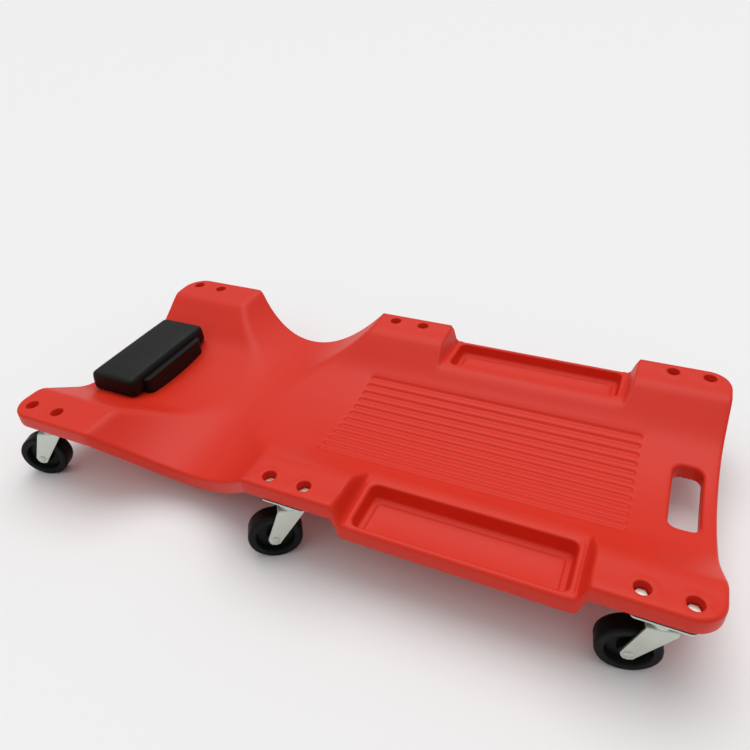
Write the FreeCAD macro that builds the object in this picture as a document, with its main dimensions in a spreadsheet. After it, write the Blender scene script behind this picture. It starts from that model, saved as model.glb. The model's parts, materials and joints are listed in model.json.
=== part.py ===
import FreeCAD, Part
import math
import os

import Sketcher
from FreeCAD import Placement, Rotation, Vector

# A low-profile mechanics creeper, in millimetres. X runs along the deck with the head end at -X,
# Y runs across it and Z is up. The origin is on the floor, under the middle of the whole creeper.
# The deck is a hollow blow-moulded board: six flat pads stand high over the casters, and between
# them a trough carries the body, drops away at the arms and holds a tool tray along each side.

DRIVING = {
    # deck heights above the floor
    "pad_top": 130,
    "deck_thick": 25,
    "wall_thick": 3.2,
    "trough_head": 72,
    "trough_ribs": 73,
    "arm_edge": 60,
    "arm_middle": 72,
    "tray_rim_inner": 104,
    "tray_rim_outer": 99,
    "tray_under": 76,
    # deck plan
    "head_corner": 516,
    "head_kink": 514,
    "head_middle": 505,
    "head_wide": 245,
    "foot_corner": 517,
    "foot_middle": 513,
    "foot_wide": 240,
    "pad_inner": 180,
    "head_pad_end": 350,
    "mid_pad_start": 74,
    "mid_pad_end": 60,
    "foot_pad_start": 381,
    "arm_waist": 203.5,
    "arm_centre": 220,
    "arm_low": 212,
    # trays, in the deck's sides
    "tray_start": 83,
    "tray_end": 358,
    "rim_head": 11,
    "rim_foot": 9,
    "tray_inner": 157,
    "tray_outer": 231,
    "tray_floor": 82,
    "tray_step": 2.5,
    "tray_corner": 9,
    # handle slot near the foot edge
    "slot_centre": 474,
    "slot_width": 39,
    "slot_length": 124,
    "slot_corner": 13,
    # flutes across the trough
    "flute_start": 38,
    "flute_end": 407,
    "flute_pitch": 17.6,
    "flute_width": 9,
    "flute_deep": 2,
    "flute_count": 12,
    # headrest
    "rest_centre": 438,
    "rest_width": 92,
    "rest_length": 202,
    "rest_bottom": 84.5,
    "rest_thick": 31,
    "rest_corner": 8,
    "rest_rim": 6,
    "base_back": 8,
    "base_front": 12,
    "base_length": 148,
    "base_top": 105,
    "base_corner": 9,
    # casters: stations on the deck
    "station_head": 458,
    "station_mid": 15,
    "station_foot": 458,
    "station_side": 218.4,
    "bolt_gap": 53,
    # casters: parts
    "spacer_thick": 3,
    "plate_thick": 2.5,
    "plate_long": 66,
    "plate_wide": 38,
    "bolt_hole": 8.6,
    "pin_radius": 4,
    "pin_head": 9,
    "race_radius": 17,
    "race_thick": 3.3,
    "ball_radius": 2.38,
    "ball_circle": 12.5,
    "ball_level": 95.2,
    "ball_count": 14,
    "crown_top": 90.4,
    "crown_thick": 2.4,
    "boss_radius": 16,
    "boss_top": 94.2,
    "fork_gap": 29,
    "fork_sheet": 2.3,
    "trail": 27,
    "axle_level": 38,
    "axle_radius": 4,
    "axle_head": 5.2,
    "sleeve_radius": 6,
    "wheel_width": 26,
    "hub_width": 28.4,
    "running_gap": 0.06,
    # fasteners
    "recess_radius": 9.5,
    "recess_floor": 112,
    "washer_radius": 8,
    "washer_thick": 1.6,
    "head_flats": 13,
    "head_high": 5.3,
    "bolt_radius": 4,
    "bolt_tip": 91.5,
    "nut_high": 6.4,
}

doc = FreeCAD.newDocument("creeper")
sheet = doc.addObject("Spreadsheet::Sheet", "Sizes")
for row, (word, number) in enumerate(DRIVING.items(), start=1):
    sheet.set("A%d" % row, word)
    sheet.set("B%d" % row, str(number))
    sheet.setAlias("B%d" % row, word)
doc.recompute()


def cell(word):
    """The number that the sheet holds under this alias."""
    return float(sheet.get(word))


def value(formula):
    """A formula of sheet cells, such as "Sizes.trail + 3", worked out as a number."""
    return float(sheet.evalExpression(formula.replace("Sizes.", "")))


nodes = []


def keep(obj, label):
    """Names a finished sub-part and lists it for export."""
    obj.Label = label
    nodes.append(obj)
    return obj


def bind(obj, **formulas):
    for prop, formula in formulas.items():
        obj.setExpression(prop, formula)
    return obj


# ---------------------------------------------------------------- sketches

PLANE_ROLES = {"XY": "XY_Plane", "XZ": "XZ_Plane"}


def new_body(name):
    return doc.addObject("PartDesign::Body", name)


def new_sketch(body, name, plane, lift=None):
    """A sketch on one of the body's own origin planes, lifted along its normal by a formula."""
    sketch = body.newObject("Sketcher::SketchObject", name)
    for feature in body.Origin.OriginFeatures:
        if feature.Role == PLANE_ROLES[plane]:
            sketch.AttachmentSupport = [(feature, "")]
    sketch.MapMode = "FlatFace"
    if lift:
        sketch.setExpression(".AttachmentOffset.Base.z", lift)
    return sketch


def fix_point(sketch, geometry, end, across, up):
    """Holds a point of a sketch at two formulas of the sheet."""
    for kind, formula in (("DistanceX", across), ("DistanceY", up)):
        index = sketch.addConstraint(_constraint(kind, -1, 1, geometry, end, value(formula)))
        sketch.setExpression("Constraints[%d]" % index, formula)


def _constraint(*args):

    return Sketcher.Constraint(*args)


def add_polygon(sketch, corners):
    """A closed outline whose corners are pairs of formulas."""
    places = [Vector(value(across), value(up), 0) for across, up in corners]
    count = len(corners)
    lines = []
    for i, place in enumerate(places):
        segment = Part.LineSegment(place, places[(i + 1) % count])
        lines.append(sketch.addGeometry(segment, False))
    for i in range(count):
        after = lines[(i + 1) % count]
        sketch.addConstraint(_constraint("Coincident", lines[i], 2, after, 1))
    for line, (across, up) in zip(lines, corners):
        fix_point(sketch, line, 1, across, up)
    return sketch


def add_circle(sketch, across, up, radius):
    """A circle whose centre and radius are formulas."""
    centre = Vector(value(across), value(up), 0)
    circle = Part.Circle(centre, Vector(0, 0, 1), value(radius))
    number = sketch.addGeometry(circle, False)
    fix_point(sketch, number, 3, across, up)
    index = sketch.addConstraint(_constraint("Radius", number, value(radius)))
    sketch.setExpression("Constraints[%d]" % index, radius)
    return sketch


def add_pad(body, sketch, length, midplane=False):
    pad = body.newObject("PartDesign::Pad", sketch.Name + "_pad")
    pad.Profile = sketch
    pad.Midplane = midplane
    pad.setExpression("Length", length)
    sketch.Visibility = False
    return pad


def add_through_pocket(body, sketch):
    pocket = body.newObject("PartDesign::Pocket", sketch.Name + "_pocket")
    pocket.Profile = sketch
    pocket.Type = "ThroughAll"
    pocket.Midplane = True
    return pocket


def add_revolution(body, sketch, cuts=False):
    kind = "PartDesign::Groove" if cuts else "PartDesign::Revolution"
    turned = body.newObject(kind, sketch.Name + "_turned")
    turned.Profile = sketch
    turned.ReferenceAxis = (sketch, ["V_Axis"])
    turned.Angle = 360
    return turned


def turned_body(name, corners):
    """A round body: an outline in radius and height, turned about Z."""
    body = new_body(name)
    sketch = add_polygon(new_sketch(body, name + "_outline", "XZ"), corners)
    add_revolution(body, sketch)
    return body


# ---------------------------------------------------------------- deck surface

INNER_SLOPE = 0.62  # rise over run of the flanks inside the pads
HEAD_CURVE = 0.0010  # the trough rises by this times the distance from the middle, squared
RIB_CURVE = 0.0012
CREASE = 10.0  # half the width over which a flat pad turns into its flank
BLEND = 7.0  # how softly two slopes run into each other
SURFACE_STEP = 10.0  # spacing of the surface's poles


def ramp(t, soft):
    """Zero below -soft, t above soft, and a parabola between."""
    if t <= -soft:
        return 0.0
    if t >= soft:
        return t
    return (t + soft) ** 2 / (4 * soft)


def step(t):
    """From 0 to 1, smooth at both ends."""
    t = min(1.0, max(0.0, t))
    return t * t * (3 - 2 * t)


def soft_max(a, b):
    return b + ramp(a - b, BLEND)


def soft_min(a, b):
    return a - ramp(a - b, BLEND)


PAD_TOP = cell("pad_top")
DECK_THICK = cell("deck_thick")


def tray_share(x):
    """1 along the trays, 0 at the pads beside them."""
    near, far = cell("tray_start") - cell("rim_head"), cell("tray_end") + cell("rim_foot")
    rise = step((x - cell("mid_pad_end")) / (near - cell("mid_pad_end")))
    fall = step((cell("foot_pad_start") - x) / (cell("foot_pad_start") - far))
    return rise * fall


def side_height(x, y):
    """The pads, the U of the arm cut-outs and the tray rims: what the long edges follow."""
    away = abs(y)
    head_reach = cell("head_pad_end") - cell("arm_low")
    foot_reach = cell("arm_low") - cell("mid_pad_start")
    offset = x + cell("arm_low")
    share = min(1.0, abs(offset) / (head_reach if offset < 0 else foot_reach))
    middle = cell("arm_middle") - cell("arm_edge")
    low = cell("arm_edge") + middle * max(0.0, 1 - (away / cell("arm_waist")) ** 2)
    arms = low + (PAD_TOP - low) * share**2
    inner, outer = cell("tray_rim_inner"), cell("tray_rim_outer")
    across = (away - cell("tray_inner")) / (cell("foot_wide") - cell("tray_inner"))
    rim = inner + (outer - inner) * across
    return arms - tray_share(x) * (PAD_TOP - rim)


def deck_height(x, y):
    """Height of the deck's top skin."""
    away = abs(y)
    flank = PAD_TOP - INNER_SLOPE * ramp(cell("pad_inner") - away, CREASE)
    toward_ribs = step((x + cell("head_pad_end")) / (cell("head_pad_end") - cell("mid_pad_start")))
    middle = cell("trough_head") + (cell("trough_ribs") - cell("trough_head")) * toward_ribs
    curve = HEAD_CURVE + (RIB_CURVE - HEAD_CURVE) * toward_ribs
    trough = middle + curve * away**2
    return soft_min(soft_max(flank, trough), side_height(x, y))


def under_height(x, y):
    """Height of the deck's bottom skin: even thickness, but flat under the trays."""
    under = deck_height(x, y) - DECK_THICK
    return under - tray_share(x) * max(0.0, under - cell("tray_under"))


def skin(height, lift=0.0):
    """A B-spline face over the whole plan whose poles stand at height(x, y) + lift."""
    reach_x, reach_y = cell("head_corner") + 24, cell("head_wide") + 15

    def poles_along(reach):
        count = int(round(2 * reach / SURFACE_STEP)) + 1
        spans = count - 3
        ends = [-reach + 2 * reach * i / spans for i in range(spans + 1)]
        padded = [ends[0]] * 3 + ends + [ends[-1]] * 3
        places = [sum(padded[i + 1 : i + 4]) / 3 for i in range(count)]
        multiplicities = [4] + [1] * (spans - 1) + [4]
        return places, ends, multiplicities

    along, knots_x, mults_x = poles_along(reach_x)
    across, knots_y, mults_y = poles_along(reach_y)
    poles = [[Vector(x, y, height(x, y) + lift) for y in across] for x in along]
    surface = Part.BSplineSurface()
    surface.buildFromPolesMultsKnots(
        poles, mults_x, mults_y, knots_x, knots_y, False, False, 3, 3
    )
    return surface.toShape()


# ---------------------------------------------------------------- deck outline


def waist_arc(waist, far):
    """An arc of the arm cut-out, from the waist, where it runs along X, out to a pad's corner."""
    dx, dy = far.x - waist.x, far.y - waist.y
    radius = (dx * dx + dy * dy) / (2 * abs(dy))
    centre = Vector(waist.x, waist.y + math.copysign(radius, dy), waist.z)
    bisector = ((far - centre).normalize() + (waist - centre).normalize()).normalize()
    return Part.Arc(waist, centre + bisector * radius, far).toShape()


def deck_prism(low, high):
    """The deck's plan outline as a prism, its corners rounded."""
    wide, foot_wide = cell("head_wide"), cell("foot_wide")
    corner, kink, head = -cell("head_corner"), -cell("head_kink"), -cell("head_middle")
    foot, foot_mid = cell("foot_corner"), cell("foot_middle")
    inner, waist = cell("pad_inner"), Vector(-cell("arm_centre"), cell("arm_waist"), low)
    pad_end = Vector(-cell("head_pad_end") + 2, wide, low)
    mid_start = Vector(-cell("mid_pad_start"), foot_wide, low)

    def flip(p):
        return Vector(p.x, -p.y, p.z)

    def line(a, b):
        return Part.LineSegment(a, b).toShape()

    head_in, head_out = Vector(kink, inner, low), Vector(corner, wide, low)
    foot_out, foot_in = Vector(foot, foot_wide, low), Vector(foot, inner, low)
    upper = [
        line(head_in, head_out),
        line(head_out, pad_end),
        waist_arc(waist, pad_end),
        waist_arc(waist, mid_start),
        line(mid_start, foot_out),
        line(foot_out, foot_in),
    ]
    lower = [
        line(flip(foot_in), flip(foot_out)),
        line(flip(foot_out), flip(mid_start)),
        waist_arc(flip(waist), flip(mid_start)),
        waist_arc(flip(waist), flip(pad_end)),
        line(flip(pad_end), flip(head_out)),
        line(flip(head_out), flip(head_in)),
    ]
    foot_end = Part.Arc(foot_in, Vector(foot_mid, 0, low), flip(foot_in)).toShape()
    head_end = Part.Arc(flip(head_in), Vector(head, 0, low), head_in).toShape()
    outline = Part.Wire(Part.__sortEdges__(upper + [foot_end] + lower + [head_end]))
    prism = Part.Face(outline).extrude(Vector(0, 0, high - low))
    corners = ((head_out, 38), (pad_end, 28), (mid_start, 8), (foot_out, 36))
    for place, radius in corners:
        edges = [
            edge
            for edge in prism.Edges
            if abs(edge.BoundBox.ZLength - (high - low)) < 1e-6
            and abs(edge.BoundBox.XMin - place.x) < 1e-6
            and abs(abs(edge.BoundBox.YMin) - place.y) < 1e-6
        ]
        prism = prism.makeFillet(radius, edges)
    return prism


def rounded_box(x_low, x_high, y_low, y_high, z_low, z_high, radius):
    box = Part.makeBox(
        x_high - x_low, y_high - y_low, z_high - z_low, Vector(x_low, y_low, z_low)
    )
    upright = [e for e in box.Edges if e.BoundBox.ZLength > z_high - z_low - 1e-6]
    return box.makeFillet(radius, upright)


# Stations: x, side of the deck (+1 is +Y) and the direction that the wheel trails in at rest.
STATIONS = {
    "head_right": (-cell("station_head"), -1, 200),
    "head_left": (-cell("station_head"), 1, 160),
    "middle_right": (-cell("station_mid"), -1, 213),
    "middle_left": (-cell("station_mid"), 1, 147),
    "foot_right": (cell("station_foot"), -1, 191),
    "foot_left": (cell("station_foot"), 1, 169),
}
SIDE = cell("station_side")
BOLT_PLACES = [
    Vector(x + way * cell("bolt_gap") / 2, side * SIDE, 0)
    for x, side, _ in STATIONS.values()
    for way in (-1, 1)
]
SCREW_RADIUS = 2
SCREW_PLACES = [Vector(-cell("rest_centre"), way * 55, 0) for way in (-1, 1)]
SEAT = cell("pad_top") - cell("deck_thick")
PLATE_TOP = SEAT - cell("spacer_thick")


def drill(place, radius, low, high):
    return Part.makeCylinder(radius, high - low, Vector(place.x, place.y, low))


def tray_cutters(side):
    """The space in one tray: a drafted hollow and the shallow step in its floor."""
    floor, top, draft = cell("tray_floor"), PAD_TOP + 10, 4
    start, end = cell("tray_start"), cell("tray_end")
    near, far = cell("tray_inner"), cell("tray_outer")
    corner, sunk = cell("tray_corner"), cell("tray_step")

    def outline(inset, height, radius):
        box = rounded_box(
            start + inset, end - inset, near + inset, far - inset, height, height + 1, radius
        )
        base = [f for f in box.Faces if abs(f.BoundBox.ZMax - height) < 1e-6][0]
        return base.OuterWire

    rim_level = cell("tray_rim_inner")
    lean = draft / (rim_level - floor)
    hollow = Part.makeLoft(
        [outline(draft, floor, corner - draft), outline(draft - lean * (top - floor), top, corner)],
        True,
    )
    step_hollow = Part.makeLoft(
        [outline(draft + 9, floor - sunk, 5), outline(draft + 6, floor + 1, 7)], True
    )
    space = hollow.fuse(step_hollow)
    if side < 0:
        space = space.mirror(Vector(0, 0, 0), Vector(0, 1, 0))
    return space


def slot_cutter(extra=0.0):
    half_wide = cell("slot_width") / 2 + extra
    half_long = cell("slot_length") / 2 + extra
    centre = cell("slot_centre")
    return rounded_box(
        centre - half_wide, centre + half_wide, -half_long, half_long,
        0, 200, cell("slot_corner") + extra,
    )


def flute_cutter():
    """Shallow flat-bottomed flutes that follow the trough."""
    width, pitch = cell("flute_width"), cell("flute_pitch")
    count = int(cell("flute_count"))
    prisms = []
    for i in range(count):
        y = (i - (count - 1) / 2) * pitch
        prisms.append(
            rounded_box(
                -cell("flute_start"), cell("flute_end"), y - width / 2, y + width / 2,
                40, 160, width / 2 - 0.1,
            )
        )
    above = skin(deck_height, -cell("flute_deep")).extrude(Vector(0, 0, 60))
    return Part.makeCompound(prisms).common(above)


def build_deck():
    wall = cell("wall_thick")
    prism = deck_prism(0, 200)
    top = skin(deck_height).extrude(Vector(0, 0, -120))
    under = skin(under_height).extrude(Vector(0, 0, -120))
    outer = top.common(prism).cut(under)

    base = [f for f in prism.Faces if f.BoundBox.ZMax < 1e-6][0]
    inset = Part.Face(base.OuterWire.makeOffset2D(-wall)).extrude(Vector(0, 0, 200))
    hollow = skin(deck_height, -wall).extrude(Vector(0, 0, -120)).common(inset)
    hollow = hollow.cut(skin(under_height, wall).extrude(Vector(0, 0, -120)))
    solid_zones = [slot_cutter(wall)]
    for side in (-1, 1):
        near, far = sorted((side * (cell("tray_inner") - wall), side * 260))
        solid_zones.append(
            rounded_box(
                cell("tray_start") - 2 * wall, cell("tray_end") + 2 * wall, near, far, 0, 200, 12
            )
        )
    solid_zones += [drill(p, cell("recess_radius") + wall, 0, 200) for p in BOLT_PLACES]
    solid_zones += [drill(p, 8, 0, 200) for p in SCREW_PLACES]
    for zone in solid_zones:
        hollow = hollow.cut(zone)

    cutters = [tray_cutters(side) for side in (-1, 1)]
    cutters.append(slot_cutter())
    cutters += [drill(p, cell("recess_radius"), cell("recess_floor"), 160) for p in BOLT_PLACES]
    cutters += [drill(p, cell("bolt_hole") / 2, 60, 160) for p in BOLT_PLACES]
    cutters += [drill(p, 2.3, 0, 160) for p in SCREW_PLACES]
    for x, side, _ in STATIONS.values():
        half_long, half_wide = cell("plate_long") / 2 + 3, cell("plate_wide") / 2 + 4
        cutters.append(
            rounded_box(
                x - half_long, x + half_long, side * SIDE - half_wide, side * SIDE + half_wide,
                SEAT - 20, SEAT, 4,
            )
        )
    vent = drill(Vector(60, 0, 0), 1.6, 0, cell("trough_ribs") - 2 * wall)
    deck = outer.cut(hollow)
    for cutter in cutters + [vent, flute_cutter()]:
        deck = deck.cut(cutter)
    return deck.Solids[0] if len(deck.Solids) == 1 else deck


deck = doc.addObject("Part::Feature", "deck_shell")
deck.Shape = build_deck()
keep(deck, "deck_shell")


# ---------------------------------------------------------------- groups of small identical pieces


def cylinder(name, radius, height, base):
    """A Part::Cylinder standing on base, its radius and height bound to formulas."""
    obj = doc.addObject("Part::Cylinder", name)
    bind(obj, Radius=radius, Height=height)
    obj.Placement = Placement(base, Rotation())
    return obj


def ring(name, outer, inner, height, base):
    """A flat ring: one Part::Cylinder cut out of another."""
    cut = doc.addObject("Part::Cut", name)
    cut.Base = cylinder(name + "_outer", outer, height, base)
    cut.Tool = cylinder(name + "_inner", inner, height, base)
    return cut


def hexagon(name, flats, height, base):
    prism = doc.addObject("Part::Prism", name)
    prism.Polygon = 6
    bind(prism, Circumradius="%s / 2 / cos(30)" % flats, Height=height)
    prism.Placement = Placement(base, Rotation())
    return prism


def fuse(name, *pieces):
    fused = doc.addObject("Part::MultiFuse", name)
    fused.Shapes = list(pieces)
    return fused


def group(label, pieces, placement=None):
    """Separate solids kept together in one node."""
    compound = doc.addObject("Part::Compound", label)
    compound.Links = pieces
    if placement:
        compound.Placement = placement
    return keep(compound, label)


def at_level(place, level):
    return Vector(place.x, place.y, level)


HEAD_SEAT = cell("recess_floor") + cell("washer_thick")
PLATE_UNDER = PLATE_TOP - cell("plate_thick")
bolts, washers, nuts, spacers = [], [], [], []
for i, place in enumerate(BOLT_PLACES):
    head = hexagon(
        "bolt_head_%d" % i, "Sizes.head_flats", "Sizes.head_high", at_level(place, HEAD_SEAT)
    )
    shank_length = "Sizes.recess_floor + Sizes.washer_thick + 1 - Sizes.bolt_tip"
    shank_base = at_level(place, cell("bolt_tip"))
    shank = cylinder("bolt_shank_%d" % i, "Sizes.bolt_radius", shank_length, shank_base)
    bolts.append(fuse("bolt_%d" % i, head, shank))
    washers.append(
        ring(
            "washer_%d" % i, "Sizes.washer_radius", "Sizes.bolt_hole / 2",
            "Sizes.washer_thick", at_level(place, cell("recess_floor")),
        )
    )
    nut_base = at_level(place, PLATE_UNDER - cell("nut_high"))
    nut_body = hexagon("nut_body_%d" % i, "Sizes.head_flats", "Sizes.nut_high", nut_base)
    nut_hole = cylinder("nut_hole_%d" % i, "Sizes.bolt_radius", "Sizes.nut_high", nut_base)
    nut = doc.addObject("Part::Cut", "nut_%d" % i)
    nut.Base = nut_body
    nut.Tool = nut_hole
    nuts.append(nut)
group("caster_bolts", bolts)
group("caster_washers", washers)
group("caster_nuts", nuts)


def rounded_plate(name, length, width, thick, base_level):
    """A plate with rounded corners and two bolt holes, its base at base_level, on X-Y."""
    body = new_body(name)
    half_long, half_wide = "(%s) / 2" % length, "(%s) / 2" % width
    sketch = new_sketch(body, name + "_outline", "XY", base_level)
    corners = [
        ("-" + half_long, "-" + half_wide),
        (half_long, "-" + half_wide),
        (half_long, half_wide),
        ("-" + half_long, half_wide),
    ]
    pad = add_pad(body, add_polygon(sketch, corners), thick)
    doc.recompute()
    upright = [
        "Edge%d" % (i + 1)
        for i, e in enumerate(pad.Shape.Edges)
        if e.BoundBox.XLength < 1e-6 and e.BoundBox.YLength < 1e-6
    ]
    fillet = body.newObject("PartDesign::Fillet", name + "_corners")
    fillet.Base = (pad, upright)
    fillet.Radius = 5
    holes = new_sketch(body, name + "_holes", "XY", base_level)
    for across in ("Sizes.bolt_gap / 2", "-Sizes.bolt_gap / 2"):
        add_circle(holes, across, "0", "Sizes.bolt_hole / 2")
    add_through_pocket(body, holes)
    return body


SEAT_FORMULA = "Sizes.pad_top - Sizes.deck_thick - Sizes.spacer_thick"
for name, (x, side, _) in STATIONS.items():
    spacer = rounded_plate(
        name + "_spacer", "Sizes.plate_long + 4", "Sizes.plate_wide - 2",
        "Sizes.spacer_thick", SEAT_FORMULA,
    )
    spacer.Placement = Placement(Vector(x, side * SIDE, 0), Rotation())
    spacers.append(spacer)
group("caster_spacers", spacers)


# ---------------------------------------------------------------- casters

CROWN_UNDER = "Sizes.crown_top - Sizes.crown_thick"
PLATE_UNDER_FORMULA = SEAT_FORMULA + " - Sizes.plate_thick"


def make_plate(name):
    body = rounded_plate(
        name, "Sizes.plate_long", "Sizes.plate_wide", "Sizes.plate_thick", PLATE_UNDER_FORMULA
    )
    centre = add_circle(new_sketch(body, name + "_centre", "XY"), "0", "0", "Sizes.pin_radius")
    add_through_pocket(body, centre)
    return body


def make_kingpin(name):
    """The swivel pin: a rivet flush with the plate's top and headed under the fork's crown."""
    head_top = CROWN_UNDER + " - 0.15"
    return turned_body(
        name,
        [
            ("0", head_top + " - 3"),
            ("Sizes.pin_head - 2", head_top + " - 3"),
            ("Sizes.pin_head", head_top + " - 1.2"),
            ("Sizes.pin_head", head_top),
            ("Sizes.pin_radius", head_top),
            ("Sizes.pin_radius", SEAT_FORMULA),
            ("0", SEAT_FORMULA),
        ],
    )


def add_ball_groove(body, name):
    sketch = new_sketch(body, name + "_groove", "XZ")
    add_circle(sketch, "Sizes.ball_circle", "Sizes.ball_level", "Sizes.ball_radius + 0.05")
    add_revolution(body, sketch, cuts=True)


def make_race(name):
    """The upper race, a ring under the plate that the balls run in."""
    body = turned_body(
        name,
        [
            ("6", PLATE_UNDER_FORMULA + " - Sizes.race_thick"),
            ("Sizes.race_radius", PLATE_UNDER_FORMULA + " - Sizes.race_thick"),
            ("Sizes.race_radius + 1.2", PLATE_UNDER_FORMULA),
            ("6", PLATE_UNDER_FORMULA),
        ],
    )
    add_ball_groove(body, name)
    return body


def make_balls(name):
    balls = []
    for i in range(int(cell("ball_count"))):
        ball = doc.addObject("Part::Sphere", "%s_%d" % (name, i))
        bind(ball, Radius="Sizes.ball_radius")
        turn = "360 * %d / Sizes.ball_count" % i
        ball.setExpression(".Placement.Base.x", "Sizes.ball_circle * cos(%s)" % turn)
        ball.setExpression(".Placement.Base.y", "Sizes.ball_circle * sin(%s)" % turn)
        ball.setExpression(".Placement.Base.z", "Sizes.ball_level")
        balls.append(ball)
    compound = doc.addObject("Part::Compound", name)
    compound.Links = balls
    return compound


def make_fork(name):
    """The swivel yoke: a crown with a raised race, and a leg each side that narrows to the axle.

    Local X is the direction that the wheel trails in.
    """
    body = new_body(name)
    outer = "Sizes.fork_gap / 2 + Sizes.fork_sheet"
    profile = new_sketch(body, name + "_profile", "XZ")
    add_polygon(
        profile,
        [
            ("-17", "Sizes.crown_top"),
            ("-17", "Sizes.crown_top - 7"),
            ("Sizes.trail - 8.5", "Sizes.axle_level - 3.5"),
            ("Sizes.trail - 5.5", "Sizes.axle_level - 8"),
            ("Sizes.trail", "Sizes.axle_level - 9.5"),
            ("Sizes.trail + 5.5", "Sizes.axle_level - 8"),
            ("Sizes.trail + 8.5", "Sizes.axle_level - 3.5"),
            ("Sizes.trail + 9.5", "Sizes.axle_level + 2"),
            ("20", "Sizes.crown_top - 7"),
            ("17", "Sizes.crown_top"),
        ],
    )
    whole = add_pad(body, profile, "(%s) * 2" % outer, midplane=True)
    doc.recompute()
    bends = [
        "Edge%d" % (i + 1)
        for i, e in enumerate(whole.Shape.Edges)
        if e.BoundBox.ZMin > cell("crown_top") - 1e-6 and e.BoundBox.XLength > 20
    ]
    rounded = body.newObject("PartDesign::Fillet", name + "_bends")
    rounded.Base = (whole, bends)
    rounded.Radius = 2.2
    between = new_sketch(body, name + "_between", "XZ")
    add_polygon(
        between,
        [
            ("-30", "0"),
            ("60", "0"),
            ("60", CROWN_UNDER),
            ("-30", CROWN_UNDER),
        ],
    )
    gap = body.newObject("PartDesign::Pocket", name + "_gap")
    gap.Profile = between
    gap.Midplane = True
    gap.setExpression("Length", "Sizes.fork_gap")
    boss = new_sketch(body, name + "_boss", "XZ")
    add_polygon(
        boss,
        [
            ("8", "Sizes.crown_top - 1"),
            ("Sizes.boss_radius", "Sizes.crown_top - 1"),
            ("Sizes.boss_radius - 1", "Sizes.boss_top"),
            ("8", "Sizes.boss_top"),
        ],
    )
    add_revolution(body, boss)
    add_ball_groove(body, name)
    centre = new_sketch(body, name + "_centre", "XY")
    add_circle(centre, "0", "0", "Sizes.pin_radius + Sizes.running_gap")
    add_through_pocket(body, centre)
    across = new_sketch(body, name + "_across", "XZ")
    add_circle(across, "Sizes.trail", "Sizes.axle_level", "Sizes.axle_radius")
    add_through_pocket(body, across)
    return body


def make_axle(name):
    """A rivet through both legs, headed outside each."""
    legs = "(Sizes.fork_gap / 2 + Sizes.fork_sheet)"
    return turned_body(
        name,
        [
            ("0", "-%s - 2.2" % legs),
            ("3", "-%s - 2.2" % legs),
            ("Sizes.axle_head", "-%s - 0.9" % legs),
            ("Sizes.axle_head", "-" + legs),
            ("Sizes.axle_radius", "-" + legs),
            ("Sizes.axle_radius", legs),
            ("Sizes.axle_head", legs),
            ("Sizes.axle_head", legs + " + 0.9"),
            ("3", legs + " + 2.2"),
            ("0", legs + " + 2.2"),
        ],
    )


def make_sleeve(name):
    """The spacer tube on the axle that the wheel turns on."""
    half = "Sizes.fork_gap / 2"
    return turned_body(
        name,
        [
            ("Sizes.axle_radius", "-" + half),
            ("Sizes.sleeve_radius", "-" + half),
            ("Sizes.sleeve_radius", half),
            ("Sizes.axle_radius", half),
        ],
    )


def make_wheel(name):
    """A solid wheel with a crowned tread and a dished web on both sides."""
    tread, half_hub, half_tread = "Sizes.axle_level", "Sizes.hub_width / 2", "Sizes.wheel_width / 2"
    bore = "Sizes.sleeve_radius + Sizes.running_gap"
    side = [
        (bore, half_hub),
        ("10.5", half_hub),
        ("11.5", half_hub + " - 1.2"),
        ("13", "5"),
        ("24", "5"),
        ("27", half_tread + " - 0.8"),
        ("28.5", half_tread),
        (tread + " - 3", half_tread),
        (tread + " - 0.8", half_tread + " - 1.2"),
        (tread, half_tread + " - 4"),
    ]
    other = [(radius, "-(%s)" % along) for radius, along in reversed(side)]
    return turned_body(name, side + other)


FIXED_PARTS = {
    "plate": make_plate,
    "kingpin": make_kingpin,
    "upper_race": make_race,
    "balls": make_balls,
}
SWIVEL_PARTS = {"fork": make_fork}
AXLE_PARTS = {"axle": make_axle, "axle_sleeve": make_sleeve, "wheel": make_wheel}
ON_AXLE = Placement(Vector(cell("trail"), 0, cell("axle_level")), Rotation(Vector(1, 0, 0), 90))

for station, (x, side, heading) in STATIONS.items():
    fixed = Placement(Vector(x, side * SIDE, 0), Rotation())
    swivelled = Placement(Vector(x, side * SIDE, 0), Rotation(Vector(0, 0, 1), heading))
    for parts, placement in (
        (FIXED_PARTS, fixed),
        (SWIVEL_PARTS, swivelled),
        (AXLE_PARTS, swivelled.multiply(ON_AXLE)),
    ):
        for piece, make in parts.items():
            label = "%s_%s" % (station, piece)
            made = make(label)
            made.Placement = placement
            keep(made, label)

# ---------------------------------------------------------------- headrest


def rest_block(low, high, corner):
    """A block with the plan of the cushion."""
    half_wide, half_long = cell("rest_width") / 2, cell("rest_length") / 2
    centre = -cell("rest_centre")
    return rounded_box(
        centre - half_wide, centre + half_wide, -half_long, half_long, low, high, corner
    )


def make_cushion():
    """The padded cushion: a block with rounded corners, to be covered in vinyl."""
    low = cell("rest_bottom")
    block = rest_block(low, low + cell("rest_thick"), cell("rest_corner"))
    rims = [e for e in block.Edges if e.BoundBox.ZLength < 1e-6]
    return block.makeFillet(cell("rest_rim"), rims)


def make_base():
    """The base that fills the trough under the cushion and stands up along its foot side."""
    half_long = cell("base_length") / 2
    back = -cell("rest_centre") - cell("rest_width") / 2 + cell("base_back")
    front = -cell("rest_centre") + cell("rest_width") / 2 + cell("base_front")
    top = cell("base_top")
    block = rounded_box(back, front, -half_long, half_long, 0, top, cell("base_corner"))
    block = block.cut(skin(deck_height).extrude(Vector(0, 0, -120)))
    base = block.cut(rest_block(cell("rest_bottom"), top + 1, 1))
    return max(base.Solids, key=lambda solid: solid.Volume)


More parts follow.
